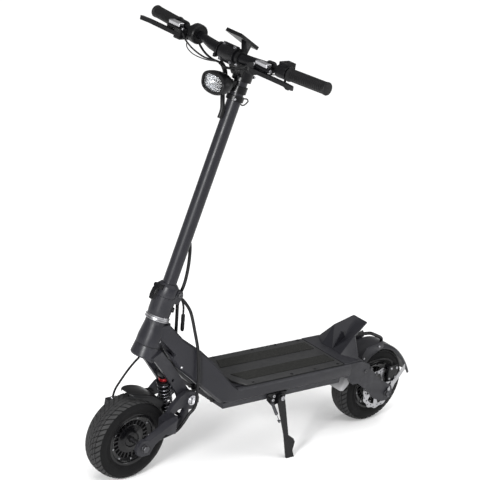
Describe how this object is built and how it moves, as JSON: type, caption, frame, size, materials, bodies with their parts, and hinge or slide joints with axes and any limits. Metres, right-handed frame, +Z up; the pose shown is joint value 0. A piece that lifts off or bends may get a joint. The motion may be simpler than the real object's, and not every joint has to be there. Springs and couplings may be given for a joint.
{
  "type": "electric kick scooter",
  "caption": "Folding electric kick scooter with fat tyres, hub motors, a leading-arm front suspension, disc brakes, a flat deck, a kickstand and a raised rear footrest.",
  "frame": {"origin": "on the ground under the middle of the scooter's length and width", "axes": "+X forward, +Y to the rider's left, +Z up; upright, steering straight ahead, stem locked upright"},
  "size_m": [1.2515, 0.7105, 1.3053],
  "materials": {
    "frame_paint": "satin charcoal powder coat, faintly metallic",
    "black_paint": "satin black coat",
    "black_plastic": "fine moulded grain",
    "grip_tape": "coarse anti-slip surface",
    "rubber": "matt",
    "tyre": "matt block tread",
    "steel": "brushed",
    "alloy": "bright machined",
    "clear": "clear moulded",
    "cable": "smooth jacket",
    "cell_wrap": "heat-shrink wrap"
  },
  "bodies": {
    "frame": {"main_frame": "frame_paint", "headset_bearing": "steel", "deck_tray": "frame_paint", "deck_plate": "frame_paint", "grip_strip_left": "grip_tape", "grip_strip_right": "grip_tape", "battery_pack": "cell_wrap", "motor_controller": "alloy", "footrest": "frame_paint", "rear_plate_left": "frame_paint", "rear_plate_right": "frame_paint", "rear_axle": "steel", "rear_fender": "frame_paint", "rear_caliper": "black_paint", "kickstand_bracket": "black_paint", "kickstand_spring": "steel"},
    "charge_cap": {"charge_cap": "rubber"},
    "kickstand": {"kickstand_leg": "black_paint"},
    "fork": {"fork_crown": "frame_paint", "arm_pivot_bolt": "steel", "headset_ring": "alloy", "stem_clamp_base": "frame_paint", "brake_hose_front": "cable", "motor_cable_front": "cable"},
    "fold_lever": {"fold_lever": "black_paint"},
    "stem": {"stem_tube": "frame_paint", "bar_stem": "black_paint", "bar_clamp_cap": "black_paint", "handlebar": "black_paint", "grip_left": "rubber", "grip_right": "rubber", "switch_pod_left": "black_plastic", "throttle_housing": "black_plastic", "brake_body_left": "black_paint", "brake_body_right": "black_paint", "display_case": "black_plastic", "headlight_bracket": "black_paint", "hose_left": "cable", "hose_right": "cable", "harness_upper": "cable", "harness_loop": "cable"},
    "throttle": {"throttle_paddle": "black_plastic"},
    "horn": {"horn_button": "steel"},
    "brake_left": {"brake_lever_left": "black_paint"},
    "brake_right": {"brake_lever_right": "black_paint"},
    "headlight": {"headlight_housing": "black_plastic", "headlight_lens": "clear"},
    "front_arm": {"front_arm": "frame_paint", "front_axle": "steel", "front_fender": "black_plastic", "front_caliper": "black_paint"},
    "shock_upper": {"shock_body": "black_paint", "shock_spring": "steel"},
    "shock_lower": {"shock_rod": "steel"},
    "front_wheel": {"front_tyre": "tyre", "front_hub_motor": "black_paint", "front_rotor": "steel"},
    "rear_wheel": {"rear_tyre": "tyre", "rear_hub_motor": "black_paint", "rear_rotor": "steel"}
  },
  "joints": [
    {"name": "steering", "type": "hinge", "parent": "frame", "child": "fork", "pos_m": [0.4561, 0, 0.4874], "axis": [-0.2309, 0, 0.973], "range_deg": [-40, 40]},
    {"name": "stem_fold", "type": "hinge", "parent": "fork", "child": "stem", "pos_m": [0.41474, 0, 0.55775], "axis": [0, -1, 0], "range_deg": [0, 88], "deforming": ["harness_loop"]},
    {"name": "fold_lever", "type": "hinge", "parent": "stem", "child": "fold_lever", "pos_m": [0.4735, 0, 0.583], "axis": [0, -1, 0], "range_deg": [0, 85]},
    {"name": "brake_left", "type": "hinge", "parent": "stem", "child": "brake_left", "pos_m": [0.3811, 0.119, 1.2375], "axis": [0, 0, 1], "range_deg": [0, 8], "stiffness_Nm_per_rad": 4, "springref_deg": -6.88},
    {"name": "brake_right", "type": "hinge", "parent": "stem", "child": "brake_right", "pos_m": [0.3756, -0.187, 1.239], "axis": [0, 0, -1], "range_deg": [0, 8], "stiffness_Nm_per_rad": 4, "springref_deg": -6.88},
    {"name": "throttle", "type": "hinge", "parent": "stem", "child": "throttle", "pos_m": [0.3415, -0.17, 1.2509], "axis": [0.0801, 0.9965, -0.0222], "range_deg": [-35, 0], "stiffness_Nm_per_rad": 0.4, "springref_deg": 17.19},
    {"name": "horn_push", "type": "slide", "parent": "stem", "child": "horn", "axis": [1, 0, 0], "range_m": [0, 0.0015], "stiffness_N_per_m": 600, "springref_m": -0.001},
    {"name": "headlight_tilt", "type": "hinge", "parent": "stem", "child": "headlight", "pos_m": [0.3283, 0, 1.158], "axis": [0, 1, 0], "range_deg": [-8, 10]},
    {"name": "front_arm", "type": "hinge", "parent": "fork", "child": "front_arm", "pos_m": [0.3283, 0, 0.233], "axis": [0, -1, 0], "range_deg": [0, 10], "stiffness_Nm_per_rad": 420, "springref_deg": -9.17, "deforming": ["motor_cable_front", "brake_hose_front"]},
    {"name": "shock_swing", "type": "hinge", "parent": "fork", "child": "shock_upper", "pos_m": [0.3993, 0, 0.3], "axis": [0, -1, 0], "range_deg": [0, 4.2]},
    {"name": "shock_slide", "type": "slide", "parent": "shock_upper", "child": "shock_lower", "axis": [0.2886, 0, 0.9574], "range_m": [0, 0.0095], "deforming": ["shock_spring"]},
    {"name": "front_wheel_spin", "type": "hinge", "parent": "front_arm", "child": "front_wheel", "pos_m": [0.5013, 0, 0.126], "axis": [0, 1, 0], "continuous": true},
    {"name": "rear_wheel_spin", "type": "hinge", "parent": "frame", "child": "rear_wheel", "pos_m": [-0.4687, 0, 0.126], "axis": [0, 1, 0], "continuous": true},
    {"name": "kickstand_swing", "type": "hinge", "parent": "frame", "child": "kickstand", "pos_m": [0.0193, 0.11, 0.208], "axis": [0, 1, 0], "range_deg": [0, 70], "deforming": ["kickstand_spring"]},
    {"name": "charge_cap_flip", "type": "hinge", "parent": "frame", "child": "charge_cap", "pos_m": [0.0913, -0.1066, 0.255], "axis": [-1, 0, 0], "range_deg": [0, 95]}
  ],
  "couplings": [
    {"joint": "shock_swing", "follows": "front_arm", "ratio": 0.397},
    {"joint": "shock_slide", "follows": "front_arm", "m_per_rad": 0.0522}
  ]
}
